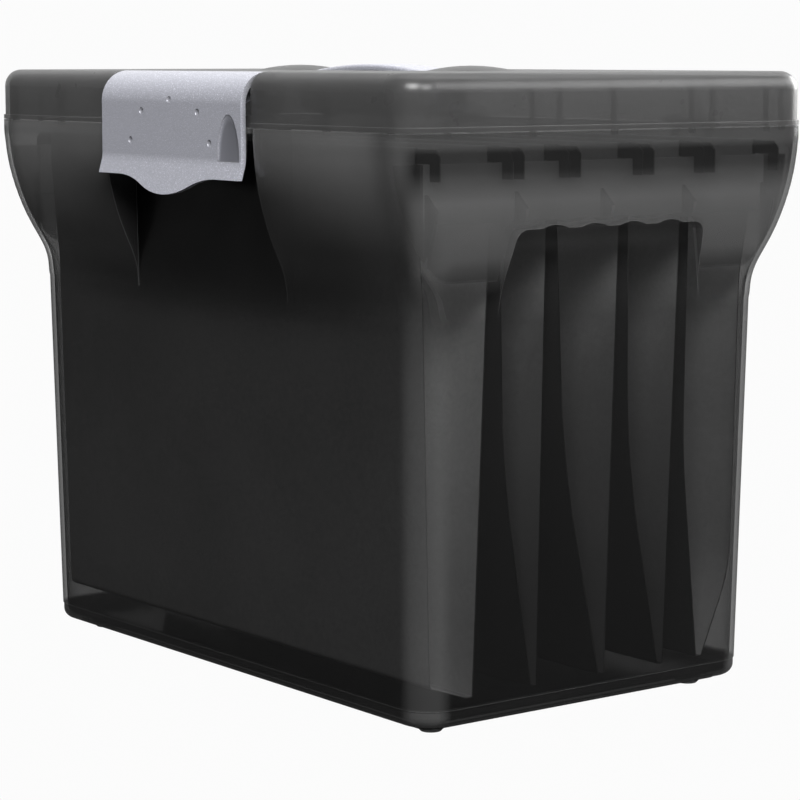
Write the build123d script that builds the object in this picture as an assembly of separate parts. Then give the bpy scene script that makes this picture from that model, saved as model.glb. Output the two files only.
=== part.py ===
"""Portable hanging-file box: a moulded translucent body that flares out at its rim, a hinged
lid with a front latch and a lift-up carry handle, and hanging folders on moulded rails.

Frame: millimetres, +Z up, origin on the floor under the middle of the box.
X runs along the box, -Y is the front with the latch, +Y the back with the lid hinges.
"""
from build123d import *
import math
import os

# ---------------------------------------------------------------- driving dimensions
# body shell
BASE_WIDTH = 191.0          # outside, along Y, at the parting line above the base band
BASE_CORNER = 16.0          # plan corner radius at the base
RIM_CORNER = 17.0           # plan corner radius at the rim
FLOOR_BOTTOM = 5.0          # underside of the moulded base above the floor it stands on
PARTING_HEIGHT = 13.0       # top of the rounded base band
BAND_STEP = 0.4             # the band sits this much inside the wall above it
BAND_ROUNDING = 5.0
WALL = 2.2                  # general wall of body and lid
DRAFT_ANGLE = 1.0           # degrees that the straight walls lean out
RIM_HEIGHT = 258.0
RIM_BAND = 1.0              # upright band between the flare and the rim
FLARE_HEIGHT = 77.0
END_FLARE = 12.5            # how far the flare carries out the two ends
SIDE_FLARE = 18.0           # how far it carries out the front and back
CONVEX_SHARE = 0.735        # part of the flare's S-curve that is its upper, convex arc
FLARE_SECTIONS = 8
FLOOR_FILLET = 3.5

# stacking ring and feet under the base
RING_INSET = 9.0
RING_WIDTH = 3.0
RING_DROP = 1.8
FOOT_RADIUS = 6.5
FOOT_CHAMFER = 2.0
FOOT_INSET_X = 20.0         # foot centre from the end of the base
FOOT_INSET_Y = 20.0         # foot centre from the side of the base

# front recess behind the latch, and the hand grips in the ends
RECESS_HALF = 62.0          # half length of the front recess
SHELF_BACK = 3.4            # shelf over the recess, set back from the rim
CATCH_LIP_HALF = 54.0       # half length of the lip that the latch catches on
CATCH_LIP_HEIGHT = 13.0
RECESS_DEPTH_BELOW = 12.0   # how far the recess cutters reach below the flare
GRIP_HALF_TOP = 53.0        # half width of an end grip at its lip
GRIP_HALF_BOTTOM = 58.0     # half width of an end grip where the flare starts
GRIP_DROP = 41.0            # grip lip below the rim
GRIP_CORNER = 6.0
SCALLOP_COUNT = 4
SCALLOP_PITCH = 22.0
SCALLOP_RADIUS = 18.0
SCALLOP_DEPTH = 1.6

# hanging rails inside the ends
RAIL_THICKNESS = 2.0
RAIL_DROP = 13.0            # top of the rails below the rim
RAIL_DEPTH = 75.0           # where a rail has run into the end wall
GUSSET_COUNT = 5
GUSSET_PITCH = 48.0
GUSSET_THICKNESS = 1.6
GUSSET_DROP = 11.0          # gusset's high end below the rail top
GUSSET_FALL = 13.0          # how much lower its outer end is

# lid
SEAM_GAP = 0.3
LID_HEIGHT = 24.2
LID_ROUNDING = 8.0          # round along the lid's top edge
BEAD_HEIGHT = 2.1
BEAD_STEP = 0.8             # bead along the lid's lower edge stands out this much
LID_RIB_THICKNESS = 1.4
LID_RIB_DEPTH = 3.5
LID_RIB_DROP = 2.5          # locating ribs reach this far below the seam
LID_RIB_GUSSET = 8.0
LID_RIB_COUNT = 5           # ribs on each end of the lid
LID_RIB_PITCH_Y = 45.5      # ribs on the lid's ends
LID_RIB_PITCH_X = 45.0      # ribs on the lid's front and back
LID_RIB_CORNER = 15.1       # last front rib from the lid's end

# pins and their bores
PIN_EASE = 0.01             # pin under the bore that holds it
PIN_RUNNING = 0.05          # bore of a turning part over the bore that holds its pin

# hinges at the back
HINGE_OFFSET = 4.4          # pin axis behind the rim
HINGE_BARREL = 3.6          # barrel radius
HINGE_PIN_RADIUS = 1.5
HINGE_SPACING = 170.0       # between the middles of the two hinges
LID_BARREL_LENGTH = 16.0
BODY_LUG_LENGTH = 6.0
HINGE_SIDE_GAP = 0.4
HINGE_WEB = 14.0            # how far a body lug reaches down the wall
HINGE_WEB_ANGLE = 26.0      # degrees from level where lug and arm run into their barrels
LID_ARM_HEIGHT = 9.0

# latch
LATCH_HALF = 58.0
LATCH_GAP = 1.3             # between the latch's side and its pocket in the lid
LATCH_PLATE = 2.6
LATCH_STANDOFF = 3.6        # latch face in front of the rim
LATCH_ROUNDING = 14.0
LATCH_AXIS_BACK = 9.0       # pin axis behind the latch face
LATCH_AXIS_DROP = 8.5       # pin axis below the lid's top
LATCH_FLANGE = 0.8          # flat of the plate behind its top rounding
LATCH_CREASE_DROP = 15.0    # soft crease above the pull lip, below the rim
LATCH_CREASE_RADIUS = 12.0
LATCH_SIDE_DROP = 22.6      # lower edge of the latch at its sides, below the rim
LATCH_TONGUE_DROP = 8.0     # how much lower the tongue in its middle reaches
LATCH_TONGUE_HALF = 40.0
LATCH_LIP_ANGLE = 15.8      # degrees that the pull lip kicks out
LATCH_PIN_RADIUS = 1.6
LATCH_PIN_BOSS = 4.0
LATCH_PIN_BOSS_LENGTH = 5.0
POCKET_CLEARANCE = 0.5
KNUCKLE_RADIUS = 4.2
KNUCKLE_WIDTH = 3.0
KNUCKLE_ROOT = 9.2          # how far a knuckle's web reaches down the plate from the pin
KNUCKLE_PLACES = (50.0, 17.0)
CATCH_HALF = 40.0
CATCH_DROP = 0.8            # catch rib below the lip
CATCH_HEIGHT = 2.7
CATCH_PASS = 0.4            # gap between the catch rib and the rim's face
DIMPLE_COUNT = 5
DIMPLE_RADIUS = 2.0
DIMPLE_DEPTH = 0.9
DIMPLE_SPREAD = 33.0        # the five dimples lie on a half ellipse
DIMPLE_RISE = 19.0
DIMPLE_DROP = 7.0           # lowest dimples below the rim
SCOOP_CENTRE = 48.0
SCOOP_HALF = 8.75
SCOOP_DEPTH = 1.8
SCOOP_RISE = 0.2            # ledge of the scoop above the crease
SCOOP_HEIGHT = 20.8

# carry handle in the middle of the lid
BASIN_HALF_X = 45.0
BASIN_HALF_Y = 17.0
BASIN_CORNER = 8.0
BASIN_DEPTH = 18.5
BASIN_FILLET = 4.0
WINDOW_GAP = 0.6            # around a handle foot in its window
HANDLE_GAP = 0.6            # between a handle leg and the basin's end
HANDLE_RISE = 2.9           # top of the grip above the lid
HANDLE_SAG = 3.4            # how much lower its ends are
HANDLE_THICKNESS = 4.0
HANDLE_WIDTH = 20.0
HANDLE_ROUNDING = 1.6
LEG_THICKNESS = 3.5
LEG_WIDTH = 16.0
FOOT_REACH = 12.0           # how far a handle foot reaches under the lid
FOOT_THICKNESS = 3.0
DOME_CENTRE = 67.5
DOME_RADIUS = 20.5
DOME_RISE = 2.4

# hanging folders
SHEET_LENGTH = 298.5        # letter size
SHEET_THICKNESS = 0.5
SHEET_FLOOR_GAP = 8.1       # lowest fold above the inside of the base
FOLD_HALF = 1.6             # half width of the lowest fold
HEM_DROP = 16.0
HEM_GAP = 0.15              # around the rod inside its hem
HEM_ROUNDING = 0.6          # hem corner as a share of the hem's half width
ROD_OVERHANG = 15.45        # how far a rod sticks out of its card at each end
ROD_END_GAP = 4.0           # between a rod's end and the inside of the rim
ROD_THICKNESS = 0.8
ROD_HEIGHT = 6.0
HOOK_WIDTH = 6.2
HOOK_DROP = 7.2             # hook tip below the rod
HOOK_CHAMFER = 3.0
HOOK_SEAT = 0.2             # rod above the rail top
HOOK_PLAY = 0.5             # between a hook and the outer face of its rail
ROD_PAIR_GAP = 6.3          # between the rods of neighbouring folders
FIRST_ROD_GAP = 3.6         # first rod behind the front wall as it runs on straight
LAST_ROD_REACH = 2.4        # last rod beyond the back wall as it runs on straight
PAIR_CENTRES = (-52.4, -21.1, 21.0, 57.4)
FOLD_PLACES = (-65.3, -29.4, 10.0, 45.4, 69.5)

# how the cards sag: each bend lies so far inside its hem
BEND_RISE = 97.0            # bend of the middle folders' front panels above the lowest fold
BEND_RADIUS = 380.0
BEND_SETBACKS = (2.9, 5.8, 0.7, -1.8)
SHOULDER_RISE = 10.5        # the outermost panels bend where the walls begin to flare
SHOULDER_RADIUS = 60.0
FRONT_SHOULDER = 3.8
BACK_SHOULDER = 9.2
FRONT_HEEL_SETBACK = 7.8    # sharp bend of the first front panel close to the base
FRONT_HEEL_RISE = 6.7
FRONT_HEEL_RADIUS = 3.0
BACK_HEEL_SETBACK = 12.6    # round bend of the last rear panel
BACK_HEEL_RISE = 38.0
BACK_HEEL_RADIUS = 70.0

# ---------------------------------------------------------------- worked-out places
FLARE_END = RIM_HEIGHT - RIM_BAND
FLARE_START = FLARE_END - FLARE_HEIGHT
DRAFT = math.tan(math.radians(DRAFT_ANGLE))
WALL_LEAN = (FLARE_START - PARTING_HEIGHT) * DRAFT
ROD_LENGTH = SHEET_LENGTH + 2 * ROD_OVERHANG
RIM_HALF_X = ROD_LENGTH / 2 + ROD_END_GAP + WALL
RIM_HALF_Y = BASE_WIDTH / 2 + WALL_LEAN + SIDE_FLARE
BASE_LENGTH = 2 * (RIM_HALF_X - END_FLARE - WALL_LEAN)
CATCH_LIP_BOTTOM = RIM_HEIGHT - CATCH_LIP_HEIGHT
GRIP_TOP = RIM_HEIGHT - GRIP_DROP
LID_BOTTOM = RIM_HEIGHT + SEAM_GAP
LID_TOP = LID_BOTTOM + LID_HEIGHT
SKIRT_HALF_X = RIM_HALF_X - BEAD_STEP
SKIRT_HALF_Y = RIM_HALF_Y - BEAD_STEP
HINGE_Y = RIM_HALF_Y + HINGE_OFFSET
HINGE_Z = LID_BOTTOM
LATCH_FACE = -(RIM_HALF_Y + LATCH_STANDOFF)
LATCH_Y = LATCH_FACE + LATCH_AXIS_BACK
LATCH_Z = LID_TOP - LATCH_AXIS_DROP
LATCH_FLANGE_END = LATCH_FACE + LATCH_ROUNDING + LATCH_FLANGE
LATCH_CREASE = RIM_HEIGHT - LATCH_CREASE_DROP
LATCH_SIDE_BOTTOM = RIM_HEIGHT - LATCH_SIDE_DROP
LATCH_TONGUE_BOTTOM = LATCH_SIDE_BOTTOM - LATCH_TONGUE_DROP
SCOOP_BOTTOM = LATCH_CREASE + SCOOP_RISE
POCKET_HALF = LATCH_HALF + LATCH_GAP
POCKET_RADIUS = math.hypot(LATCH_FLANGE_END - LATCH_Y, LID_TOP - LATCH_Z) + POCKET_CLEARANCE
POCKET_SKIRT = SHELF_BACK - RIM_HALF_Y
RAIL_X = ROD_LENGTH / 2 - HOOK_WIDTH - HOOK_PLAY - RAIL_THICKNESS / 2
RAIL_TOP = RIM_HEIGHT - RAIL_DROP
ROD_BOTTOM = RAIL_TOP + HOOK_SEAT
ROD_TOP = ROD_BOTTOM + ROD_HEIGHT
STRAIGHT_WALL = BASE_WIDTH / 2 + (RIM_HEIGHT - PARTING_HEIGHT) * DRAFT - WALL
FIRST_ROD = FIRST_ROD_GAP - STRAIGHT_WALL
LAST_ROD = STRAIGHT_WALL + LAST_ROD_REACH
HEM_CENTRE = ROD_THICKNESS / 2 + HEM_GAP + SHEET_THICKNESS / 2     # card's middle from its rod's
HEM_TOP = ROD_TOP + HEM_GAP + SHEET_THICKNESS / 2
FOLD_HEIGHT = FLOOR_BOTTOM + WALL + SHEET_FLOOR_GAP + SHEET_THICKNESS / 2
BASIN_FLOOR = LID_TOP - BASIN_DEPTH
HANDLE_TOP = LID_TOP + HANDLE_RISE
LEG_OUTER = BASIN_HALF_X - HANDLE_GAP
LEG_BOTTOM = BASIN_FLOOR + SEAM_GAP
FAR = 400.0                 # longer than anything a cutter has to pass through


# ---------------------------------------------------------------- helpers
def block(x, y, z):
    """A box given by its (low, high) limits along each axis."""
    size = [limits[1] - limits[0] for limits in (x, y, z)]
    middle = [(limits[0] + limits[1]) / 2 for limits in (x, y, z)]
    return Pos(*middle) * Box(*size)


def along_x(outline, x_low, x_high):
    """Extrude an outline of (y, z) points from x_low to x_high."""
    wire = Polyline(*[(y, z) for y, z in outline], close=True)
    return Plane.YZ.offset(x_low) * extrude(make_face(wire), amount=x_high - x_low)


def along_y(outline, y_low, y_high):
    """Extrude an outline of (x, z) points from y_low to y_high."""
    wire = Polyline(*[(x, z) for x, z in outline], close=True)
    return Plane.XZ.offset(-y_high) * extrude(make_face(wire), amount=y_high - y_low)


def rod_x(radius, x_low, x_high, y, z):
    """A round bar along X."""
    return Pos((x_low + x_high) / 2, y, z) * Rot(0, 90, 0) * Cylinder(radius, x_high - x_low)


def spread(count, pitch):
    """Places of evenly pitched features about the middle."""
    return [(i - (count - 1) / 2) * pitch for i in range(count)]


def both_ends(solid):
    """The solid and its mirror image at the other end of the box."""
    return [solid, mirror(solid, about=Plane.YZ)]


def flare_fraction(height):
    """Share of the flare reached at a height: a concave arc that runs into a convex one."""
    rise = min(max(height - FLARE_START, 0.0), FLARE_HEIGHT)
    turn = 2 * math.atan(SIDE_FLARE / FLARE_HEIGHT)
    both_radii = FLARE_HEIGHT / math.sin(turn)
    concave = both_radii * (1 - CONVEX_SHARE)
    convex = both_radii * CONVEX_SHARE
    if rise <= concave * math.sin(turn):
        return (concave - math.sqrt(concave ** 2 - rise ** 2)) / SIDE_FLARE
    left = FLARE_HEIGHT - rise
    return 1 - (convex - math.sqrt(convex ** 2 - left ** 2)) / SIDE_FLARE


def wall_lean(height):
    return (height - PARTING_HEIGHT) * DRAFT


def body_section(height, inset=0.0, flared=True):
    """Rounded rectangle of the body's outside at a height, drawn in by an inset."""
    share = flare_fraction(height) if flared else 0.0
    lean = wall_lean(min(height, FLARE_START) if flared else height)
    length = BASE_LENGTH + 2 * (lean + END_FLARE * share - inset)
    width = BASE_WIDTH + 2 * (lean + SIDE_FLARE * share - inset)
    corner = BASE_CORNER + (RIM_CORNER - BASE_CORNER) * share - inset
    return Plane.XY.offset(height) * RectangleRounded(length, width, corner)


def flared_envelope(inset, top):
    """Straight walls, flare and rim as one solid from the parting line up."""
    heights = [FLARE_START + FLARE_HEIGHT * i / FLARE_SECTIONS for i in range(FLARE_SECTIONS + 1)]
    walls = loft([body_section(PARTING_HEIGHT, inset), body_section(FLARE_START, inset)], ruled=True)
    flare = loft([body_section(height, inset) for height in heights])
    rim = extrude(body_section(FLARE_END, inset), amount=top - FLARE_END)
    return walls + flare + rim


def straight_core(inset):
    """The body as it would be if its walls ran straight up to the rim."""
    low = body_section(PARTING_HEIGHT, inset, flared=False)
    high = body_section(RIM_HEIGHT + 2 * WALL, inset, flared=False)
    return loft([low, high], ruled=True)


def base_band(inset, bottom, rounding):
    """The rounded band between the base and the parting line."""
    outline = body_section(PARTING_HEIGHT, inset + BAND_STEP)
    band = extrude(outline, amount=-(PARTING_HEIGHT - bottom))
    return fillet(band.faces().sort_by(Axis.Z)[0].edges(), rounding)


# ---------------------------------------------------------------- body
def front_recess(skin):
    """Space under the shelf behind the latch; skin makes it the wall around that space."""
    half = RECESS_HALF + skin
    low = FLARE_START - RECESS_DEPTH_BELOW
    space = block((-half, half), (-FAR, 0), (low, RIM_HEIGHT + WALL))
    return space - straight_core(skin)


def recess_shelf():
    """Shelf that closes the recess under the lid, with the lip that the latch catches on."""
    wall = BASE_WIDTH / 2 + wall_lean(RIM_HEIGHT) - WALL / 2
    root = RECESS_HALF + WALL / 2
    under = RIM_HEIGHT - WALL
    shelf = block((-root, root), (SHELF_BACK - RIM_HALF_Y, -wall), (under, RIM_HEIGHT))
    tread = block((-CATCH_LIP_HALF, CATCH_LIP_HALF), (-RIM_HALF_Y, -wall), (under, RIM_HEIGHT))
    lip = block((-CATCH_LIP_HALF, CATCH_LIP_HALF), (-RIM_HALF_Y, WALL - RIM_HALF_Y),
                (CATCH_LIP_BOTTOM, RIM_HEIGHT))
    return shelf + tread + lip


def end_grip(skin):
    """Space for the fingers under the lip of the +X end, with its finger scallops."""
    low = FLARE_START - RECESS_DEPTH_BELOW
    top = GRIP_TOP + skin
    bottom_half = GRIP_HALF_BOTTOM + skin
    top_half = GRIP_HALF_TOP + skin
    outline = [(-bottom_half, low), (bottom_half, low), (bottom_half, FLARE_START),
               (top_half, top), (-top_half, top), (-bottom_half, FLARE_START)]
    space = along_x(outline, 0, FAR)
    halfway = (FLARE_START + GRIP_TOP) / 2
    upper = [edge for edge in space.edges().filter_by(Axis.X) if edge.center().Z > halfway]
    space = fillet(upper, GRIP_CORNER)
    for y in spread(SCALLOP_COUNT, SCALLOP_PITCH):
        radius = SCALLOP_RADIUS + skin
        space += rod_x(radius, 0, FAR, y, GRIP_TOP + SCALLOP_DEPTH - SCALLOP_RADIUS)
    return space - straight_core(skin)


def rail():
    """The rail that the folder hooks hang on, at the +X end, with its gussets."""
    face = RAIL_X + RAIL_THICKNESS / 2
    root = RAIL_TOP - RAIL_DEPTH
    parts = block((face - RAIL_THICKNESS, face), (-FAR, FAR), (root, RAIL_TOP))
    high = RAIL_TOP - GUSSET_DROP
    for y in spread(GUSSET_COUNT, GUSSET_PITCH):
        low = GRIP_TOP + WALL / 2 if abs(y) < GRIP_HALF_BOTTOM else root
        outline = [(RAIL_X, high), (RIM_HALF_X, high - GUSSET_FALL), (RIM_HALF_X, low), (RAIL_X, low)]
        parts += along_y(outline, y - GUSSET_THICKNESS / 2, y + GUSSET_THICKNESS / 2)
    return parts & flared_envelope(WALL / 2, RIM_HEIGHT)


def body_hinge_lug(x_low, x_high):
    """One lug of a lid hinge on the back of the rim."""
    inside = RIM_HALF_Y - WALL / 2
    under = HINGE_Z - 2 * SEAM_GAP
    angle = math.radians(HINGE_WEB_ANGLE)
    tangent = (HINGE_Y + HINGE_BARREL * math.cos(angle), HINGE_Z - HINGE_BARREL * math.sin(angle))
    outline = [(inside, under), (HINGE_Y, under), tangent, (inside, under - HINGE_WEB)]
    web = along_x(outline, x_low, x_high)
    return web + rod_x(HINGE_BARREL, x_low, x_high, HINGE_Y, HINGE_Z)


def hinge_places():
    """For each hinge: middle, half length of the lid barrel, outer end of the body lugs."""
    half = LID_BARREL_LENGTH / 2
    outer = half + HINGE_SIDE_GAP + BODY_LUG_LENGTH
    return [(side * HINGE_SPACING / 2, half, outer) for side in (-1, 1)]


def stacking_base():
    """Ring and feet under the base."""
    outline = body_section(PARTING_HEIGHT, RING_INSET + BAND_STEP)
    inner = body_section(PARTING_HEIGHT, RING_INSET + BAND_STEP + RING_WIDTH)
    ring = extrude(outline - inner, amount=RING_DROP + WALL / 2)
    under = Pos(0, 0, FLOOR_BOTTOM - RING_DROP - PARTING_HEIGHT) * ring
    foot = Pos(0, 0, (FLOOR_BOTTOM + WALL / 2) / 2) * Cylinder(FOOT_RADIUS, FLOOR_BOTTOM + WALL / 2)
    foot = chamfer(foot.faces().sort_by(Axis.Z)[0].edges(), FOOT_CHAMFER)
    reach_x = BASE_LENGTH / 2 - FOOT_INSET_X
    reach_y = BASE_WIDTH / 2 - FOOT_INSET_Y
    feet = [Pos(x, y, 0) * foot for x in (-reach_x, reach_x) for y in (-reach_y, reach_y)]
    return [under] + feet


def box_body():
    outside = flared_envelope(0, RIM_HEIGHT) + base_band(0, FLOOR_BOTTOM, BAND_ROUNDING)
    outside -= front_recess(0)
    cavity = flared_envelope(WALL, RIM_HEIGHT + WALL)
    cavity += base_band(WALL, FLOOR_BOTTOM + WALL, FLOOR_FILLET)
    cavity -= front_recess(WALL)
    for grip in both_ends(end_grip(0)):
        outside -= grip
    for grip_wall in both_ends(end_grip(WALL)):
        cavity -= grip_wall
    body = outside - cavity + recess_shelf()
    for end_rail in both_ends(rail()):
        body += end_rail
    for piece in stacking_base():
        body += piece
    for middle, half, outer in hinge_places():
        for side in (-1, 1):
            near, far = sorted((middle + side * (half + HINGE_SIDE_GAP), middle + side * outer))
            body += body_hinge_lug(near, far)
        body -= rod_x(HINGE_PIN_RADIUS, middle - outer, middle + outer, HINGE_Y, HINGE_Z)
    return body


# ---------------------------------------------------------------- lid
def lid_shell_solid(inset, bottom, top, rounding):
    outline = RectangleRounded(2 * (SKIRT_HALF_X - inset), 2 * (SKIRT_HALF_Y - inset),
                               RIM_CORNER - BEAD_STEP - inset)
    solid = extrude(Plane.XY.offset(bottom) * outline, amount=top - bottom)
    return fillet(solid.faces().sort_by(Axis.Z)[-1].edges(), rounding)


def latch_pocket(skin):
    """Space that the latch turns in, cut from the lid's front edge."""
    half = POCKET_HALF + skin
    turning = rod_x(POCKET_RADIUS + skin, -half, half, LATCH_Y, LATCH_Z)
    front = block((-half, half), (-FAR, POCKET_SKIRT + skin), (RIM_HEIGHT - FAR, FAR))
    return turning + front


def handle_basin(skin):
    outline = RectangleRounded(2 * (BASIN_HALF_X + skin), 2 * (BASIN_HALF_Y + skin), BASIN_CORNER + skin)
    bottom = BASIN_FLOOR - skin
    basin = extrude(Plane.XY.offset(bottom) * outline, amount=FAR - bottom)
    return fillet(basin.faces().sort_by(Axis.Z)[0].edges(), BASIN_FILLET + skin)


def dome_ball(skin):
    """Ball whose cap is one of the low domes beside the handle."""
    radius = (DOME_RADIUS ** 2 + DOME_RISE ** 2) / (2 * DOME_RISE)
    return Pos(DOME_CENTRE, 0, LID_TOP + DOME_RISE - radius) * Sphere(radius - skin)


def lid_rib(depth_axis):
    """A locating rib of the lid in its own plane, from the skirt inwards."""
    under = LID_TOP - WALL / 2
    root = WALL / 2
    inner = WALL + LID_RIB_DEPTH
    low = LID_BOTTOM - LID_RIB_DROP
    return [(depth_axis - WALL - SEAM_GAP / 2, low), (depth_axis - inner, low),
            (depth_axis - inner, under - LID_RIB_GUSSET), (depth_axis - inner - LID_RIB_GUSSET, under),
            (depth_axis - root, under), (depth_axis - root, LID_BOTTOM + SEAM_GAP),
            (depth_axis - WALL - SEAM_GAP / 2, LID_BOTTOM + SEAM_GAP)]


def lid_ribs():
    """All locating ribs, trimmed to the middle of the lid's wall."""
    half = LID_RIB_THICKNESS / 2
    last = SKIRT_HALF_X - LID_RIB_CORNER
    first = last - LID_RIB_PITCH_X
    ribs = []
    for y in spread(LID_RIB_COUNT, LID_RIB_PITCH_Y):
        ribs += both_ends(along_y(lid_rib(SKIRT_HALF_X), y - half, y + half))
    for x in (first, last):
        front = along_x([(-y, z) for y, z in lid_rib(SKIRT_HALF_Y)], x - half, x + half)
        ribs += both_ends(front)
    for x in (0, first, last):
        back = along_x(lid_rib(SKIRT_HALF_Y), x - half, x + half)
        ribs += both_ends(back) if x else [back]
    limit = lid_shell_solid(WALL / 2, LID_BOTTOM - LID_RIB_DROP, LID_TOP - WALL / 2,
                            LID_ROUNDING - WALL / 2)
    return [rib & limit for rib in ribs]


def lid_hinge_barrel(middle, half):
    """Barrel on the lid between the lugs of one hinge, with its arm."""
    inside = SKIRT_HALF_Y - WALL / 2
    angle = math.radians(HINGE_WEB_ANGLE)
    tangent = (HINGE_Y + HINGE_BARREL * math.cos(angle), HINGE_Z + HINGE_BARREL * math.sin(angle))
    outline = [(inside, HINGE_Z + SEAM_GAP), (HINGE_Y, HINGE_Z + SEAM_GAP - HINGE_BARREL), tangent,
               (inside, HINGE_Z + LID_ARM_HEIGHT)]
    arm = along_x(outline, middle - half, middle + half)
    arm -= block((middle - half, middle + half), (0, RIM_HALF_Y + SEAM_GAP), (0, HINGE_Z))
    return arm + rod_x(HINGE_BARREL, middle - half, middle + half, HINGE_Y, HINGE_Z)


def handle_window():
    """Window in the basin's end that a handle foot passes through."""
    half = LEG_WIDTH / 2 + WINDOW_GAP
    return block((BASIN_HALF_X - BASIN_FILLET, BASIN_HALF_X + 2 * WALL), (-half, half),
                 (BASIN_FLOOR, LID_TOP - WALL))


def lid():
    outside = lid_shell_solid(0, LID_BOTTOM, LID_TOP, LID_ROUNDING)
    bead = RectangleRounded(2 * RIM_HALF_X, 2 * RIM_HALF_Y, RIM_CORNER)
    outside += extrude(Plane.XY.offset(LID_BOTTOM) * bead, amount=BEAD_HEIGHT)
    for dome in both_ends(dome_ball(0) & block((0, FAR), (-FAR, FAR), (LID_TOP - WALL, FAR))):
        outside += dome
    cavity = lid_shell_solid(WALL, LID_BOTTOM - WALL, LID_TOP - WALL, LID_ROUNDING - WALL)
    for dome in both_ends(dome_ball(WALL) & block((0, FAR), (-FAR, FAR), (LID_TOP - 2 * WALL, FAR))):
        cavity += dome
    cavity -= latch_pocket(WALL)
    cavity -= handle_basin(WALL)
    shell = outside - latch_pocket(0) - handle_basin(0) - cavity
    for rib in lid_ribs():
        shell += rib
    for window in both_ends(handle_window()):
        shell -= window
    boss_end = POCKET_HALF + WALL + LATCH_PIN_BOSS_LENGTH
    for boss in both_ends(rod_x(LATCH_PIN_BOSS, POCKET_HALF, boss_end, LATCH_Y, LATCH_Z)):
        shell += boss
    shell -= rod_x(LATCH_PIN_RADIUS, -boss_end + WALL, boss_end - WALL, LATCH_Y, LATCH_Z)
    for middle, half, outer in hinge_places():
        shell -= block((middle - outer - HINGE_SIDE_GAP, middle + outer + HINGE_SIDE_GAP),
                       (SKIRT_HALF_Y, FAR), (0, LID_TOP))
        shell += lid_hinge_barrel(middle, half)
        shell -= rod_x(HINGE_PIN_RADIUS + PIN_RUNNING, middle - half, middle + half, HINGE_Y, HINGE_Z)
    return shell


# ---------------------------------------------------------------- latch
def latch_section(skin):
    """Side view of the latch plate's outer face, skin behind it, closed well behind the plate."""
    lip = math.radians(LATCH_LIP_ANGLE)
    face = LATCH_FACE + skin
    kick = (LATCH_CREASE - LATCH_TONGUE_BOTTOM + WALL) * math.tan(lip)
    top = LID_TOP - skin
    radius = LATCH_ROUNDING - skin
    low = LATCH_TONGUE_BOTTOM - WALL
    path = Line((0, top), (face + radius, top))
    path += TangentArc((face + radius, top), (face, top - radius), tangent=(-1, 0))
    path += FilletPolyline((face, top - radius), (face, LATCH_CREASE), (face - kick, low),
                           radius=LATCH_CREASE_RADIUS + skin)
    path += Polyline((face - kick, low), (0, low), (0, top))
    return make_face(path)


def tongue_outline():
    """Everything below the latch's wavy lower edge, as a face in the XZ plane."""
    quarter = LATCH_TONGUE_HALF / 2
    middle = (quarter, LATCH_TONGUE_BOTTOM + LATCH_TONGUE_DROP / 2)
    side = (LATCH_TONGUE_HALF, LATCH_SIDE_BOTTOM)
    right = TangentArc((0, LATCH_TONGUE_BOTTOM), middle, tangent=(1, 0))
    right += TangentArc(side, middle, tangent=(-1, 0))
    wave = right + mirror(right, about=Plane.YZ)
    below = Polyline(side, (FAR, LATCH_SIDE_BOTTOM), (FAR, 0), (-FAR, 0), (-FAR, LATCH_SIDE_BOTTOM),
                     (-LATCH_TONGUE_HALF, LATCH_SIDE_BOTTOM))
    return make_face(wave + below)


def latch_plate():
    outer = Plane.YZ.offset(-LATCH_HALF) * extrude(latch_section(0), amount=2 * LATCH_HALF)
    inner = Plane.YZ.offset(-FAR) * extrude(latch_section(LATCH_PLATE), amount=2 * FAR)
    behind = block((-FAR, FAR), (LATCH_FLANGE_END, FAR), (0, FAR))
    below = Plane.XZ * extrude(tongue_outline(), amount=FAR)
    return outer - inner - behind - below


def latch_knuckle(x):
    """Barrel round the pin with a web up to the latch plate."""
    low = x - KNUCKLE_WIDTH / 2
    high = x + KNUCKLE_WIDTH / 2
    behind_plate = Plane.YZ.offset(low) * extrude(latch_section(LATCH_PLATE / 2), amount=KNUCKLE_WIDTH)
    outline = [(LATCH_FACE, LATCH_Z - KNUCKLE_ROOT), (LATCH_Y, LATCH_Z - KNUCKLE_RADIUS),
               (LATCH_Y + KNUCKLE_RADIUS, LATCH_Z), (LATCH_Y + LATCH_PLATE, LID_TOP), (LATCH_FACE, LID_TOP)]
    web = along_x(outline, low, high) & behind_plate
    return web + rod_x(KNUCKLE_RADIUS, low, high, LATCH_Y, LATCH_Z)


def latch():
    plate = latch_plate()
    for place in KNUCKLE_PLACES:
        for x in (-place, place):
            plate += latch_knuckle(x)
    plate -= rod_x(LATCH_PIN_RADIUS + PIN_RUNNING, -LATCH_HALF, LATCH_HALF, LATCH_Y, LATCH_Z)
    rib_top = CATCH_LIP_BOTTOM - CATCH_DROP
    plate += block((-CATCH_HALF, CATCH_HALF), (LATCH_FACE + LATCH_PLATE / 2, -RIM_HALF_Y - CATCH_PASS),
                   (rib_top - CATCH_HEIGHT, rib_top))
    for i in range(DIMPLE_COUNT):
        angle = math.pi * i / (DIMPLE_COUNT - 1)
        x = -DIMPLE_SPREAD * math.cos(angle)
        z = RIM_HEIGHT - DIMPLE_DROP + DIMPLE_RISE * math.sin(angle)
        plate -= Pos(x, LATCH_FACE - DIMPLE_RADIUS + DIMPLE_DEPTH, z) * Sphere(DIMPLE_RADIUS)
    bowl = scale(Sphere(1), by=(SCOOP_HALF, SCOOP_DEPTH, SCOOP_HEIGHT))
    scoop = Pos(SCOOP_CENTRE, LATCH_FACE, SCOOP_BOTTOM) * bowl
    plate -= scoop & block((-FAR, FAR), (-FAR, FAR), (SCOOP_BOTTOM, FAR))
    return plate


def latch_pin():
    half = POCKET_HALF + LATCH_PIN_BOSS_LENGTH - SEAM_GAP
    return rod_x(LATCH_PIN_RADIUS - PIN_EASE, -half, half, LATCH_Y, LATCH_Z)


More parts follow.
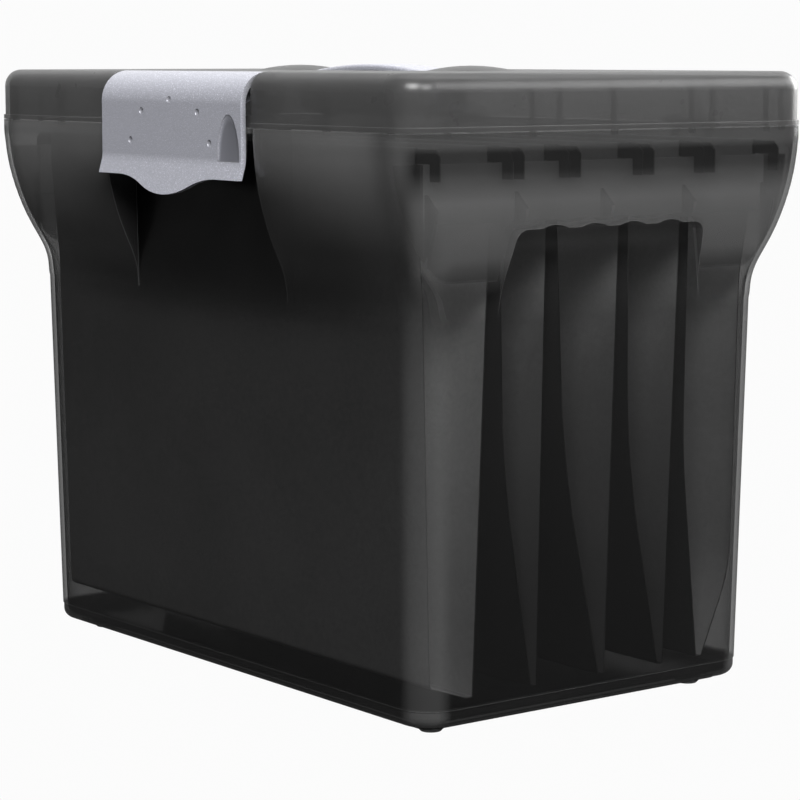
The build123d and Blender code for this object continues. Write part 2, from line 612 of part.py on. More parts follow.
# ---------------------------------------------------------------- handle
def carry_handle():
    reach = LEG_OUTER
    radius = (reach ** 2 + HANDLE_SAG ** 2) / (2 * HANDLE_SAG)
    end_top = HANDLE_TOP - HANDLE_SAG
    grip = Pos(0, 0, HANDLE_TOP - radius) * Rot(90, 0, 0) * (
        Cylinder(radius, HANDLE_WIDTH) - Cylinder(radius - HANDLE_THICKNESS, HANDLE_WIDTH))
    grip &= block((-reach, reach), (-FAR, FAR), (end_top - 2 * HANDLE_THICKNESS, FAR))
    grip = fillet(grip.edges().filter_by(GeomType.CIRCLE), HANDLE_ROUNDING)
    leg = block((reach - LEG_THICKNESS, reach), (-LEG_WIDTH / 2, LEG_WIDTH / 2),
                (LEG_BOTTOM, end_top - HANDLE_THICKNESS / 2))
    foot = block((reach - LEG_THICKNESS, reach + FOOT_REACH), (-LEG_WIDTH / 2, LEG_WIDTH / 2),
                 (LEG_BOTTOM, LEG_BOTTOM + FOOT_THICKNESS))
    handle = grip
    for piece in both_ends(leg + foot):
        handle += piece
    return handle


# ---------------------------------------------------------------- folders
def folder_places():
    """Front rod, rear rod and lowest fold of each folder, along Y."""
    fronts = [FIRST_ROD] + [pair + ROD_PAIR_GAP / 2 for pair in PAIR_CENTRES]
    rears = [pair - ROD_PAIR_GAP / 2 for pair in PAIR_CENTRES] + [LAST_ROD]
    return list(zip(fronts, rears, FOLD_PLACES))


def panel_bends():
    """Bends of each folder's front and rear panel, hem first: setback, height, radius."""
    shoulder = FLARE_START + SHOULDER_RISE
    front_heel = FOLD_HEIGHT + FRONT_HEEL_RISE
    back_heel = FOLD_HEIGHT + BACK_HEEL_RISE
    first = [(FRONT_SHOULDER, shoulder, SHOULDER_RADIUS), (FRONT_HEEL_SETBACK, front_heel, FRONT_HEEL_RADIUS)]
    last = [(BACK_SHOULDER, shoulder, SHOULDER_RADIUS), (BACK_HEEL_SETBACK, back_heel, BACK_HEEL_RADIUS)]
    middle = [[(setback, FOLD_HEIGHT + BEND_RISE, BEND_RADIUS)] for setback in BEND_SETBACKS]
    return list(zip([first] + middle, [[] for _ in middle] + [last]))


def folder_rod(y):
    """Flat steel rod with a hook at each end that hangs over the rail."""
    half = ROD_LENGTH / 2
    tip = ROD_BOTTOM - HOOK_DROP
    end = [(half - HOOK_WIDTH, ROD_BOTTOM), (half - HOOK_WIDTH, tip), (half, tip),
           (half, ROD_TOP - HOOK_CHAMFER), (half - HOOK_CHAMFER, ROD_TOP)]
    outline = end + [(-x, z) for x, z in reversed(end)]
    return along_y(outline, y - ROD_THICKNESS / 2, y + ROD_THICKNESS / 2)


def panel_path(rod, fold, bends, side):
    """Corners (y, z) and their radii, from the hem's foot over the rod and down to the fold."""
    hem = HEM_TOP - HEM_DROP
    inner = rod - side * HEM_CENTRE
    outer = rod + side * HEM_CENTRE
    small = HEM_CENTRE * HEM_ROUNDING
    corners = [(inner, hem, 0), (inner, HEM_TOP, small), (outer, HEM_TOP, small), (outer, hem, small)]
    corners += [(outer - side * setback, height, radius) for setback, height, radius in bends]
    return corners + [(fold + side * FOLD_HALF, FOLD_HEIGHT, small)]


def folder_sheet(front, rear, fold, front_bends, rear_bends):
    """One folded card: a hem round each rod and two panels that meet in the lowest fold."""
    corners = panel_path(front, fold, front_bends, -1) + panel_path(rear, fold, rear_bends, 1)[::-1]
    path = FilletPolyline(*[corner[:2] for corner in corners], radius=[corner[2] for corner in corners[1:-1]])
    face = make_face(offset(path, SHEET_THICKNESS / 2, side=Side.BOTH))
    return Plane.YZ.offset(-SHEET_LENGTH / 2) * extrude(face, amount=SHEET_LENGTH)


# ---------------------------------------------------------------- build
def nodes():
    made = {"box_body": box_body(), "lid": lid(), "latch": latch(), "latch_pin": latch_pin(),
            "carry_handle": carry_handle()}
    for name, (middle, half, outer) in zip(("hinge_pin_left", "hinge_pin_right"), hinge_places()):
        made[name] = rod_x(HINGE_PIN_RADIUS - PIN_EASE, middle - outer, middle + outer, HINGE_Y, HINGE_Z)
    for number, ((front, rear, fold), bends) in enumerate(zip(folder_places(), panel_bends()), start=1):
        made[f"folder_{number}_sheet"] = folder_sheet(front, rear, fold, *bends)
        made[f"folder_{number}_front_rod"] = folder_rod(front)
        made[f"folder_{number}_rear_rod"] = folder_rod(rear)
    return made


os.makedirs("parts", exist_ok=True)
for node_name, shape in nodes().items():
    export_step(shape, f"parts/{node_name}.step")
    print(node_name, len(shape.solids()), round(shape.volume))
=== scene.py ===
"""Looks of the portable file box: smoke plastic shell over hanging folders, silver latch and handle.

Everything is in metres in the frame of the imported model: +X along the box, -Y its front, +Z up.
A pair named HEIGHTS holds where a change in a look starts and where it is complete, above the floor.
"""
import bpy
import math
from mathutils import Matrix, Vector

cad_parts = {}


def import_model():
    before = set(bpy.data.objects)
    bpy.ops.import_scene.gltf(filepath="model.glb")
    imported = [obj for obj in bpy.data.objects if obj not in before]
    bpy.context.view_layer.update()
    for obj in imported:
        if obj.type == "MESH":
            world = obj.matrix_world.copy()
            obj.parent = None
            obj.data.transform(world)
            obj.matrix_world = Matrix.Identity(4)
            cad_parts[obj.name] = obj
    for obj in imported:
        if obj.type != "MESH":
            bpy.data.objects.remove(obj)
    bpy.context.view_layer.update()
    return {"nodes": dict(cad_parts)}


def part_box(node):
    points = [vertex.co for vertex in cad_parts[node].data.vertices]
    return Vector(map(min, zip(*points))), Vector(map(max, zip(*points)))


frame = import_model()
nodes = frame["nodes"]

# ---------------------------------------------------------------- the photograph's camera
FRAME_PIXELS = 800
FOCAL_PIXELS = 2700.8
SENSOR = 36.0
CAMERA_PLACE = (1.0361, -0.7758, 0.2899)
CAMERA_AZIMUTH = 52.8
CAMERA_DOWN = 7.29

# ---------------------------------------------------------------- studio
STUDIO_DIM = 0.06
BACKDROP = 1.0
BACKDROP_DIRECTION = (-0.79, 0.6, 0.1)
BACKDROP_SPREAD = (0.2, 0.9)        # cosines from the backdrop's direction: its outer edge, its full part
WHITE_SEEN = 0.97                   # what the camera sees of the sky and the floor
FLOOR_LIT = 0.07                    # the floor's own grey, for the light that it throws back
FLOOR_HALF = 25.0

# ---------------------------------------------------------------- smoke plastic
EDGE_WIDTH = 0.0004                 # moulded edges: radius that counts as an edge, and the painted highlight along it
EDGE_HIGHLIGHT = 0.12
EDGE_TURN = (0.74, 0.93)            # cosines between the face and its rounded edge: sharp, flat
EDGE_COVER = 0.35                   # share of what shows through that an edge takes away
EDGE_POWER = 2.0                    # how fast a wall seen edge-on shows less of what is behind it
EDGE_LOSS = 0.9
CLOUD_TONES = (0.85, 1.15)
MILK = 0.9                          # grey of the light let through as haze

# ---------------------------------------------------------------- the body: shape
PARTING_HEIGHT = 0.013              # top of the rounded base band
PARTING_HEIGHTS = (PARTING_HEIGHT - 0.0008, PARTING_HEIGHT + 0.0008)
WALL_HALF_X = 0.15549               # the straight walls at the parting height
WALL_HALF_Y = 0.0955
WALL_CORNER = 0.016
WALL_LEAN = 0.017455                # how far they lean out in each unit of height
FLARE_REACH = (0.0006, 0.0045)      # distances outside the straight walls over which the flare begins
FRONT_FLARE = -0.09                 # what lies in front of this is the front wall, its recess and its flare
RECESS_HALF = 0.09                  # the recess under the latch lies within this, along X
RAIL_PLACE = (0.1557, 0.1583)       # the thin rails inside the ends, along X
RAIL_HALF = 0.0975                  # their half length along Y
GUSSET_HALF = 0.092
FACING = 0.9                        # a normal with more than this along an axis faces along it
TURNED = (0.3, 0.7)                 # shares of the normal along X between which a face turns sideways

# ---------------------------------------------------------------- the body: looks
BODY_HAZE = 0.0025                  # grey of the plain walls' surface
BODY_CLEAR = 0.60                   # share seen through them, and through the base band
BASE_CLEAR = 0.15
BODY_TINT = 0.91
BODY_GLOW = 0.02
# painted sheen: a soft light band on the rounded corners, fading out going up
CORNER_SHEEN = 0.03
CORNER_ROUND = 0.35 * WALL_CORNER ** 2
CORNER_HEIGHTS = (0.150, 0.200)
END_FLARE_LIGHT = 0.066                    # painted light on the ends' flare, and the haze left beside the hooks
HOOK_HAZE = 0.006
HOOK_HEIGHTS = (0.229, 0.242)
RIM_HAZE = 0.03
RIM_COVER = 0.12
RIM_HEIGHTS = (0.2495, 0.2525)
SIDE_FLARE_LIGHT = 0.11                    # painted light on the front's and back's flare, lighter towards the top
SIDE_HEIGHTS = (0.206, 0.246)
SIDE_CORNER_SHARE = 0.5             # its share left round the corners
SIDE_CORNER = 0.0004
SIDE_TURN = (0.002, 0.010)          # how much further out along Y than along X the sides' painted light takes over
HAZE_FULL = 0.07                    # from this haze on it covers a full share of what is behind it
HAZE_COVER = 0.12
SHADE_HEIGHTS = (0.172, 0.206)      # the shade under the latch
SHADE_TOP_HEIGHTS = (0.228, 0.250)
SHADE_TOP_SHARE = 0.3
SHADE_ALONG = (0.060, 0.130)
SHADE_HAZE_LOSS = 0.95
SHADE_CLEAR_LOSS = 0.88
RECESS_SHADE = 0.80                 # share of the shade on the recess's cheeks, and the painted light on them
RECESS_CHEEK_LIGHT = 0.012
RAIL_HAZE = 0.5
RAIL_HAZE_HEIGHTS = (0.205, 0.228)
RAIL_CLEAR = 0.93
RAIL_CLEAR_HEIGHTS = (0.155, 0.190)
RAIL_HAZE_COVER = 0.65

# ---------------------------------------------------------------- the latch
SCOOP_PLACE = (0.048, 0.009)        # middle and half width of its thumb scoop, which is painted dark as shade
SCOOP_HEIGHTS = (0.2436, 0.2645)
SCOOP_DEPTHS = (-0.1198, -0.1190)   # from the latch's face to the scoop's floor, along Y

# ---------------------------------------------------------------- the folders
FOLDER_COUNT = 5
SHEET_LOW = 0.0156                  # middle of a folder's lowest fold
SHEET_HIGH = 0.2516                 # middle of its hems' tops
DEEP_HEIGHTS = (SHEET_LOW + 0.03, 0.180)
FOLD_SHADE_SHARE = (0.6, 0.3, 0.3, 0.3, 0.7)              # painted shade low down in the folds: card's tone there, as a share of its tone higher up
INNER_TONE_AND_LIGHT = (0.95, 0.56, 0.56, 0.58, 0.80)         # card's tone inside each pocket, lighter in the first and last pockets as painted light
OUTER_TONE_AND_LIGHT = (0.38, 0.085, 0.085, 0.085, 0.085)     # and outside, with painted light on the first folder's front
UPPER_SHADE_SHARE = 0.80                  # painted shadow of the flare inside, near the tops of the end walls' windows
UPPER_HEIGHTS = (0.164, 0.186)
TOP_TONE = 0.42                     # inside, above the end grips
TOP_HEIGHTS = (0.196, 0.216)
CUT_SHADE = 0.8                     # share of the tone that the card's cut edges lose


# ---------------------------------------------------------------- node helpers
class Shader:
    """A material's node tree with short calls for the nodes used here."""

    def __init__(self, name):
        self.material = bpy.data.materials.new(name)
        self.material.use_nodes = True
        self.tree = self.material.node_tree
        self.tree.nodes.clear()
        self.output = self.add("ShaderNodeOutputMaterial")

    def add(self, kind, **settings):
        node = self.tree.nodes.new(kind)
        for key, value in settings.items():
            setattr(node, key, value)
        return node

    def put(self, socket, value):
        """Links a socket or sets a plain value."""
        if isinstance(value, bpy.types.NodeSocket):
            self.tree.links.new(value, socket)
        else:
            socket.default_value = value

    def place(self):
        """Object coordinates: a CAD node's object sits at the frame's origin."""
        return self.add("ShaderNodeTexCoord").outputs["Object"]

    def normal(self):
        return self.add("ShaderNodeTexCoord").outputs["Normal"]

    def parts_of(self, vector):
        node = self.add("ShaderNodeSeparateXYZ")
        self.put(node.inputs[0], vector)
        return node.outputs

    def noise(self, scale, detail=3.0, roughness=0.55, stretch=(1, 1, 1)):
        mapping = self.add("ShaderNodeMapping")
        mapping.inputs["Scale"].default_value = stretch
        self.put(mapping.inputs["Vector"], self.place())
        node = self.add("ShaderNodeTexNoise")
        self.put(node.inputs["Vector"], mapping.outputs["Vector"])
        node.inputs["Scale"].default_value = scale
        node.inputs["Detail"].default_value = detail
        node.inputs["Roughness"].default_value = roughness
        return node.outputs["Fac"]

    def math(self, operation, a, b=0.0):
        node = self.add("ShaderNodeMath", operation=operation)
        self.put(node.inputs[0], a)
        self.put(node.inputs[1], b)
        return node.outputs[0]

    def times(self, first, *others):
        for factor in others:
            first = self.math("MULTIPLY", first, factor)
        return first

    def plus(self, first, *others):
        for term in others:
            first = self.math("ADD", first, term)
        return first

    def less(self, first, *others):
        for term in others:
            first = self.math("SUBTRACT", first, term)
        return first

    def without(self, factor):
        """What a factor leaves of 1."""
        return self.math("SUBTRACT", 1.0, factor)

    def magnitude(self, value):
        return self.math("ABSOLUTE", value)

    def above(self, value, limit):
        return self.math("GREATER_THAN", value, limit)

    def below(self, value, limit):
        return self.math("LESS_THAN", value, limit)

    def ramp(self, value, span, low=0.0, high=1.0):
        """Goes from low to high while a value crosses a span."""
        node = self.add("ShaderNodeMapRange")
        self.put(node.inputs["Value"], value)
        for name, setting in zip(("From Min", "From Max", "To Min", "To Max"), (*span, low, high)):
            self.put(node.inputs[name], setting)
        return node.outputs[0]

    def vary(self, noise, low, high):
        """Spreads the middle of a noise over low to high."""
        return self.ramp(noise, (0.3, 0.7), low, high)

    def blend(self, factor, a, b):
        node = self.add("ShaderNodeMix", data_type="RGBA")
        self.put(node.inputs["Factor"], factor)
        self.put(node.inputs["A"], a)
        self.put(node.inputs["B"], b)
        return node.outputs["Result"]

    def grey_of(self, level):
        """A grey of a changing level."""
        made = self.add("ShaderNodeCombineColor")
        for channel in ("Red", "Green", "Blue"):
            self.put(made.inputs[channel], level)
        return made.outputs[0]

    def bump(self, height, strength, distance):
        node = self.add("ShaderNodeBump")
        self.put(node.inputs["Height"], height)
        node.inputs["Strength"].default_value = strength
        node.inputs["Distance"].default_value = distance
        return node.outputs["Normal"]

    def principled(self, **sockets):
        node = self.add("ShaderNodeBsdfPrincipled")
        for name, value in sockets.items():
            self.put(node.inputs[name.replace("_", " ")], value)
        return node.outputs["BSDF"]

    def mix(self, factor, a, b):
        node = self.add("ShaderNodeMixShader")
        for socket, value in zip(node.inputs, (factor, a, b)):
            self.put(socket, value)
        return node.outputs[0]

    def finish(self, shader):
        self.put(self.output.inputs["Surface"], shader)
        return self.material


def grey(value):
    return (value, value, value, 1.0)


# ---------------------------------------------------------------- materials
class SmokePlastic(Shader):
    """Satin moulded plastic that shows what is behind it, darkened, through each of its faces.

    A wall seen edge-on is a longer way through the plastic, so it shows less.
    """

    def __init__(self, name):
        super().__init__(name)
        self.cloud = self.noise(scale=9.0, detail=4.0)
        self.x, self.y, self.z = self.parts_of(self.place())

    def edge(self):
        """1 along the moulded edges, 0 on the faces."""
        rounded = self.add("ShaderNodeBevel", samples=4)
        rounded.inputs["Radius"].default_value = EDGE_WIDTH
        alike = self.add("ShaderNodeVectorMath", operation="DOT_PRODUCT")
        self.put(alike.inputs[0], rounded.outputs["Normal"])
        self.put(alike.inputs[1], self.add("ShaderNodeNewGeometry").outputs["Normal"])
        return self.ramp(alike.outputs["Value"], EDGE_TURN, 1.0, 0.0)

    def done(self, clear, tint, haze, glow, rough=(0.18, 0.26)):
        """clear: share seen through a face; haze: grey of the surface; glow: light let through as haze."""
        edge = self.edge()
        # painted highlight: the moulded edges are made lighter, standing in for light caught along them
        haze = self.plus(haze, self.times(edge, EDGE_HIGHLIGHT))
        clear = self.times(clear, self.without(self.times(edge, EDGE_COVER)))
        colour = self.grey_of(self.times(haze, self.vary(self.cloud, *CLOUD_TONES)))
        grain = self.bump(self.noise(scale=900.0, detail=2.0), 0.05, 0.0002)
        rough = self.vary(self.noise(scale=60.0), *rough)
        skin = self.principled(Base_Color=colour, Roughness=rough, IOR=1.49, Normal=grain)
        milk = self.add("ShaderNodeBsdfTranslucent")
        milk.inputs["Color"].default_value = grey(MILK)
        through = self.add("ShaderNodeBsdfTransparent")
        self.put(through.inputs["Color"], self.blend(self.cloud, grey(tint * 0.96), grey(tint)))
        facing = self.add("ShaderNodeLayerWeight").outputs["Facing"]
        loss = self.times(self.math("POWER", facing, EDGE_POWER), EDGE_LOSS)
        cover = self.without(self.times(self.without(loss), clear))
        return self.finish(self.mix(cover, through.outputs[0], self.mix(glow, skin, milk.outputs[0])))


class BodyPlastic(SmokePlastic):
    """The body: milky in the flare and lighter there as painted light, with a painted sheen low on the
    corners and painted shade under the latch.

    The ends' flare is clear again beside the rods' hooks, and the rails and their gussets inside the
    ends hardly show. The base band is thick and nearly black.
    """

    def __init__(self, name):
        super().__init__(name)
        self.along = self.magnitude(self.x)
        self.across = self.magnitude(self.y)
        normal_x, normal_y, _ = self.parts_of(self.normal())
        self.facing_x = self.magnitude(normal_x)
        self.facing_y = self.magnitude(normal_y)
        self.front = self.below(self.y, FRONT_FLARE)

        # how far the surface stands outside the middle of each rounded corner of the straight walls
        lean = self.times(self.less(self.z, PARTING_HEIGHT), WALL_LEAN)
        self.past_x = self.past(self.along, WALL_HALF_X, lean)
        self.past_y = self.past(self.across, WALL_HALF_Y, lean)
        self.corner = self.times(self.past_x, self.past_y)

    def past(self, distance, half, lean):
        return self.math("MAXIMUM", self.less(distance, half - WALL_CORNER, lean), 0.0)

    def shade(self):
        """1 in the middle of the shade under the latch."""
        return self.times(self.ramp(self.z, SHADE_HEIGHTS), self.ramp(self.along, SHADE_ALONG, 1.0, 0.0),
                          self.ramp(self.z, SHADE_TOP_HEIGHTS, 1.0, SHADE_TOP_SHARE), self.front,
                          self.ramp(self.facing_x, TURNED, 1.0, RECESS_SHADE))

    def haze(self, shade):
        """Grey of the outer walls, with painted light in the flare and on the recess's cheeks, a painted
        sheen low on the corners, and less of it in the painted shade under the latch.
        """
        squares = self.plus(self.times(self.past_x, self.past_x), self.times(self.past_y, self.past_y))
        reach = self.less(self.math("SQRT", squares), WALL_CORNER)
        flare = self.ramp(reach, FLARE_REACH)
        # painted light on the ends' flare, much less beside the hooks, and the rim's haze
        end = self.plus(self.times(flare, self.ramp(self.z, HOOK_HEIGHTS, END_FLARE_LIGHT, HOOK_HAZE)),
                        self.ramp(self.z, RIM_HEIGHTS, 0.0, RIM_HAZE))
        # painted light on the front's and back's flare, lighter towards the top
        side = self.times(flare, self.ramp(self.z, SIDE_HEIGHTS, 0.0, SIDE_FLARE_LIGHT),
                          self.ramp(self.corner, (0.0, SIDE_CORNER), 1.0, SIDE_CORNER_SHARE))
        sideways = self.ramp(self.less(self.past_y, self.past_x), SIDE_TURN)
        # painted sheen low on the rounded corners
        corner = self.times(self.ramp(self.corner, (0.0, CORNER_ROUND), 0.0, CORNER_SHEEN),
                            self.ramp(self.z, CORNER_HEIGHTS, 1.0, 0.0))
        haze = self.plus(self.times(sideways, side), self.times(self.without(sideways), end))
        haze = self.plus(haze, corner, BODY_HAZE)
        haze = self.times(haze, self.without(self.times(shade, SHADE_HAZE_LOSS)))
        # painted light on the recess's cheeks, so that they do not go black in the shade
        cheek_light = self.times(self.ramp(self.facing_x, TURNED, 0.0, RECESS_CHEEK_LIGHT),
                           self.below(self.along, RECESS_HALF), self.front)
        return self.math("MAXIMUM", haze, cheek_light)

    def rails(self):
        """How clear the rails and their gussets are, and the milky part of the rails."""
        inside = self.above(self.along, RAIL_PLACE[0])
        rail = self.times(inside, self.below(self.along, RAIL_PLACE[1]), self.below(self.across, RAIL_HALF))
        gusset = self.times(inside, self.above(self.facing_y, FACING), self.below(self.across, GUSSET_HALF))
        milky = self.times(rail, self.ramp(self.z, RAIL_HAZE_HEIGHTS))
        clear = self.times(self.math("MAXIMUM", rail, gusset),
                           self.ramp(self.z, RAIL_CLEAR_HEIGHTS, 0.0, RAIL_CLEAR),
                           self.without(self.times(milky, RAIL_HAZE_COVER)))
        return clear, milky

    def walls(self, shade, haze):
        """How clear the walls are."""
        clear = self.ramp(self.z, PARTING_HEIGHTS, BASE_CLEAR, BODY_CLEAR)
        hazy = self.math("MINIMUM", self.math("DIVIDE", haze, HAZE_FULL), 1.0)
        rim = self.ramp(self.z, RIM_HEIGHTS, 0.0, RIM_COVER)
        clear = self.less(clear, self.times(hazy, HAZE_COVER), rim)
        return self.times(clear, self.without(self.times(shade, SHADE_CLEAR_LOSS)))


def smoke_body():
    s = BodyPlastic("smoke_body")
    shade = s.shade()
    rails, milky = s.rails()
    haze = s.math("MAXIMUM", s.haze(shade), s.times(milky, RAIL_HAZE))
    clear = s.math("MAXIMUM", s.walls(shade, haze), rails)
    return s.done(clear, BODY_TINT, haze, BODY_GLOW)


def smoke_lid():
    s = SmokePlastic("smoke_lid")
    return s.done(clear=0.34, tint=0.9, haze=0.031, glow=0.22, rough=(0.27, 0.33))


def silver_plastic():
    """Silver moulded plastic with a fine metallic fleck, with painted shade in its hollows and in the thumb
    scoop.
    """
    s = Shader("silver_plastic")
    fleck = s.noise(scale=2600.0, detail=1.0)
    sparkle = s.ramp(fleck, (0.58, 0.68))
    colour = s.blend(sparkle, (0.385, 0.39, 0.44, 1), (0.73, 0.74, 0.82, 1))
    # painted shade: darker where the surface is closed in
    hollow_shade = s.add("ShaderNodeAmbientOcclusion", samples=8)
    hollow_shade.inputs["Distance"].default_value = 0.006
    colour = s.blend(s.ramp(hollow_shade.outputs["AO"], (0.70, 0.97), 0.3, 1.0), grey(0.09), colour)
    x, y, z = s.parts_of(s.place())
    middle, half = SCOOP_PLACE
    # painted shade: the thumb scoop is made dark, more so towards its floor
    scoop = s.times(s.below(s.magnitude(s.less(x, middle)), half), s.ramp(y, SCOOP_DEPTHS),
                    s.above(z, SCOOP_HEIGHTS[0]), s.below(z, SCOOP_HEIGHTS[1]))
    colour = s.blend(scoop, colour, (0.18, 0.183, 0.207, 1))
    rough = s.vary(s.noise(scale=40.0), 0.33, 0.41)
    return s.finish(s.principled(Base_Color=colour, Metallic=0.4, Roughness=rough, Coat_Weight=0.25,
                                 Coat_Roughness=0.2, Normal=s.bump(fleck, 0.1, 0.0001)))


def pin_steel():
    """Plain steel, drawn along X."""
    s = Shader("pin_steel")
    drawn = s.noise(scale=300.0, detail=2.0, stretch=(0.02, 1, 1))
    colour = s.blend(drawn, grey(0.42), grey(0.6))
    return s.finish(s.principled(Base_Color=colour, Metallic=1.0, Roughness=s.vary(drawn, 0.25, 0.4)))


def rod_steel():
    """Dark coated strip of the folder rods."""
    s = Shader("rod_steel")
    coat = s.noise(scale=240.0)
    colour = s.blend(coat, grey(0.010), grey(0.018))
    return s.finish(s.principled(Base_Color=colour, Metallic=0.2, Roughness=s.vary(coat, 0.4, 0.55),
                                 Normal=s.bump(coat, 0.05, 0.0002)))


def middle_y(node):
    low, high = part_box(node)
    return (low.y + high.y) / 2


def lowest_fold(number):
    """Place along Y of a folder's lowest fold, read from its solid."""
    mesh = nodes[f"folder_{number}_sheet"].data
    bottom = min(v.co.z for v in mesh.vertices)
    fold = [v.co.y for v in mesh.vertices if v.co.z < bottom + 0.0001]
    return (min(fold) + max(fold)) / 2


def folder_card(number):
    """Folder card: charcoal outside, lighter grey inside the pocket, with painted shade down in the narrow
    folds.

    Painted light makes the first folder's front and the first and last pockets lighter. The last folder's
    back is seen through the body's back wall as the first one's front is seen through the front wall, so it
    has the same painted light.
    """
    s = Shader(f"card_{number}")
    _, y, z = s.parts_of(s.place())
    normal_x, normal_y, _ = s.parts_of(s.normal())
    fibre = s.noise(scale=420.0, detail=5.0, roughness=0.7)
    cloudy = s.vary(s.noise(scale=14.0), 0.85, 1.05)
    # painted shade: the card darker low down in the narrow folds
    deep_shade = s.ramp(z, DEEP_HEIGHTS, FOLD_SHADE_SHARE[number - 1], 1.0)

    tone = OUTER_TONE_AND_LIGHT[number - 1]
    if number == FOLDER_COUNT:
        # painted light: the last folder's back takes the first folder's lit front tone
        tone = s.ramp(normal_y, (-0.1, 0.1), tone, OUTER_TONE_AND_LIGHT[0])
    outer = s.times(s.vary(fibre, 0.85, 1.15), cloudy, tone)
    # painted shade also on the fronts of the folders behind the first
    if number > 1:
        outer = s.times(outer, deep_shade)

    # painted shadow of the flare near the tops of the end walls' windows
    tone = s.times(s.ramp(z, UPPER_HEIGHTS, 1.0, UPPER_SHADE_SHARE), INNER_TONE_AND_LIGHT[number - 1])
    tone = s.ramp(z, TOP_HEIGHTS, tone, TOP_TONE)
    inner = s.times(s.vary(fibre, 0.9, 1.1), cloudy, deep_shade, tone)

    # a face that looks towards the folder's middle is inside its pocket
    rods = (middle_y(f"folder_{number}_front_rod") + middle_y(f"folder_{number}_rear_rod")) / 2
    middle = s.ramp(z, (SHEET_LOW, SHEET_HIGH), lowest_fold(number), rods)
    inside = s.above(s.times(s.less(middle, y), normal_y), 0.0)
    shade = s.plus(s.times(s.without(inside), outer), s.times(inside, inner))
    cut = s.above(s.magnitude(normal_x), FACING)
    shade = s.times(shade, s.without(s.times(cut, CUT_SHADE)))
    return s.finish(s.principled(Base_Color=s.grey_of(shade), Roughness=0.85, Specular_IOR_Level=0.25,
                                 Normal=s.bump(fibre, 0.25, 0.0002)))


# ---------------------------------------------------------------- dressing the nodes
def assign(node, material):
    mesh = nodes[node].data
    mesh.materials.clear()
    mesh.materials.append(material)


assign("box_body", smoke_body())
assign("lid", smoke_lid())
silver = silver_plastic()
for node in ("latch", "carry_handle"):
    assign(node, silver)
steel = pin_steel()
for node in ("latch_pin", "hinge_pin_left", "hinge_pin_right"):
    assign(node, steel)
dark_rod = rod_steel()
for number in range(1, FOLDER_COUNT + 1):
    assign(f"folder_{number}_sheet", folder_card(number))
    assign(f"folder_{number}_front_rod", dark_rod)
    assign(f"folder_{number}_rear_rod", dark_rod)


# ---------------------------------------------------------------- stage, light and camera
def pale_floor():
    """White to the camera, much dimmer as a source of light on the object."""
    s = Shader("pale_floor")
    glow = s.add("ShaderNodeEmission")
    glow.inputs["Color"].default_value = grey(1.0)
    glow.inputs["Strength"].default_value = WHITE_SEEN
    matte = s.add("ShaderNodeBsdfDiffuse")
    matte.inputs["Color"].default_value = grey(FLOOR_LIT)
    seen = s.add("ShaderNodeLightPath").outputs["Is Camera Ray"]
    return s.finish(s.mix(seen, matte.outputs[0], glow.outputs[0]))


def floor():
    half = FLOOR_HALF
    corners = [(-half, -half, 0), (half, -half, 0), (half, half, 0), (-half, half, 0)]
    mesh = bpy.data.meshes.new("floor")
    mesh.from_pydata(corners, [], [(0, 1, 2, 3)])
    obj = bpy.data.objects.new("floor", mesh)
    bpy.context.scene.collection.objects.link(obj)
    mesh.materials.append(pale_floor())


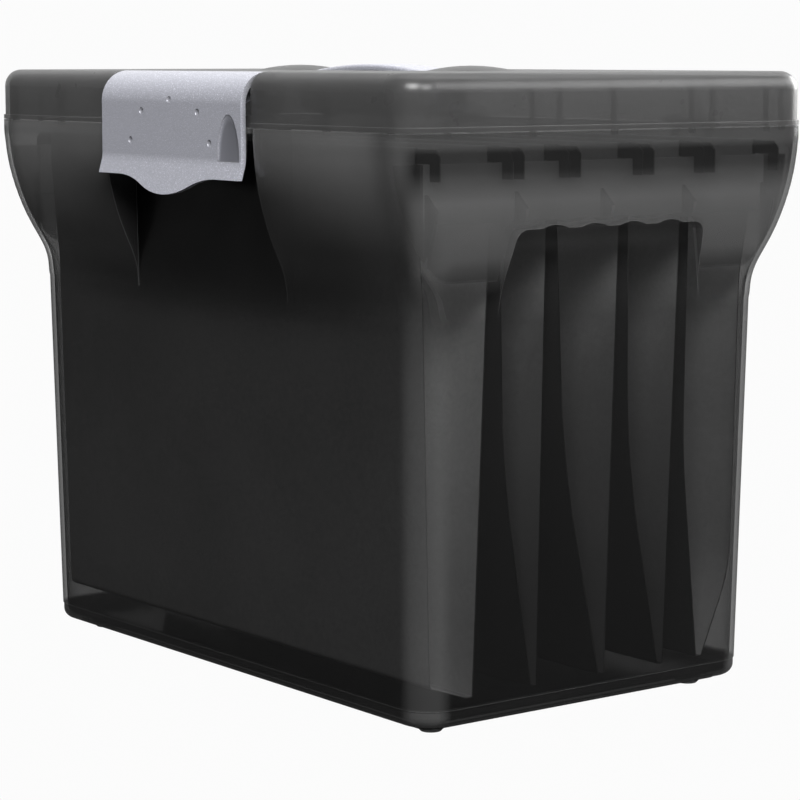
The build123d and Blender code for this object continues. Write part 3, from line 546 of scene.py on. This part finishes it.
def world():
    """White to the camera; to everything else a dim studio with a pale backdrop behind the box."""
    made = bpy.data.worlds.new("studio")
    made.use_nodes = True
    bpy.context.scene.world = made
    tree = made.node_tree
    tree.nodes.clear()
    out = tree.nodes.new("ShaderNodeOutputWorld")
    mix = tree.nodes.new("ShaderNodeMixShader")
    path = tree.nodes.new("ShaderNodeLightPath")
    towards = tree.nodes.new("ShaderNodeVectorMath")
    towards.operation = "DOT_PRODUCT"
    towards.inputs[1].default_value = BACKDROP_DIRECTION
    tree.links.new(tree.nodes.new("ShaderNodeTexCoord").outputs["Generated"], towards.inputs[0])
    backdrop = tree.nodes.new("ShaderNodeMapRange")
    backdrop.interpolation_type = "SMOOTHSTEP"
    backdrop.inputs["From Min"].default_value, backdrop.inputs["From Max"].default_value = BACKDROP_SPREAD
    backdrop.inputs["To Min"].default_value = STUDIO_DIM
    backdrop.inputs["To Max"].default_value = BACKDROP
    tree.links.new(towards.outputs["Value"], backdrop.inputs["Value"])
    dim = tree.nodes.new("ShaderNodeBackground")
    dim.inputs["Color"].default_value = grey(1.0)
    tree.links.new(backdrop.outputs[0], dim.inputs["Strength"])
    white = tree.nodes.new("ShaderNodeBackground")
    white.inputs["Color"].default_value = grey(1.0)
    white.inputs["Strength"].default_value = WHITE_SEEN
    tree.links.new(path.outputs["Is Camera Ray"], mix.inputs[0])
    tree.links.new(dim.outputs[0], mix.inputs[1])
    tree.links.new(white.outputs[0], mix.inputs[2])
    tree.links.new(mix.outputs[0], out.inputs["Surface"])


def softbox(name, place, aim_height, size, power):
    """A rectangular lamp turned to the box's upright middle line; power in watts."""
    light = bpy.data.lights.new(name, "AREA")
    light.shape = "RECTANGLE"
    light.size, light.size_y = size
    light.energy = power
    obj = bpy.data.objects.new(name, light)
    obj.location = place
    obj.rotation_euler = (Vector((0, 0, aim_height)) - Vector(place)).to_track_quat("-Z", "Y").to_euler()
    bpy.context.scene.collection.objects.link(obj)


def camera():
    data = bpy.data.cameras.new("camera")
    data.sensor_width = SENSOR
    data.lens = FOCAL_PIXELS / FRAME_PIXELS * SENSOR
    data.clip_start = 0.05
    data.clip_end = 60.0
    turn, down = math.radians(CAMERA_AZIMUTH), math.radians(CAMERA_DOWN)
    sight = Vector((-math.sin(turn) * math.cos(down), math.cos(turn) * math.cos(down), -math.sin(down)))
    obj = bpy.data.objects.new("camera", data)
    obj.location = CAMERA_PLACE
    obj.rotation_euler = sight.to_track_quat("-Z", "Y").to_euler()
    bpy.context.scene.collection.objects.link(obj)
    bpy.context.scene.camera = obj


floor()
world()
softbox("key", place=(2.45, -2.0, 2.8), aim_height=0.15, size=(1.9, 1.9), power=330.0)
softbox("right", place=(2.1, 0.1, 1.5), aim_height=0.15, size=(1.0, 1.0), power=48.0)
softbox("right_back", place=(1.2, 1.5, 1.3), aim_height=0.2, size=(1.5, 1.1), power=28.0)
softbox("back", place=(-0.3, 3.2, 1.0), aim_height=0.15, size=(1.5, 1.5), power=100.0)
softbox("overhead", place=(-0.1, 0.4, 1.8), aim_height=0.2, size=(1.4, 1.4), power=10.0)
camera()

scene = bpy.context.scene
scene.view_settings.view_transform = "Standard"
scene.cycles.transparent_max_bounces = 32
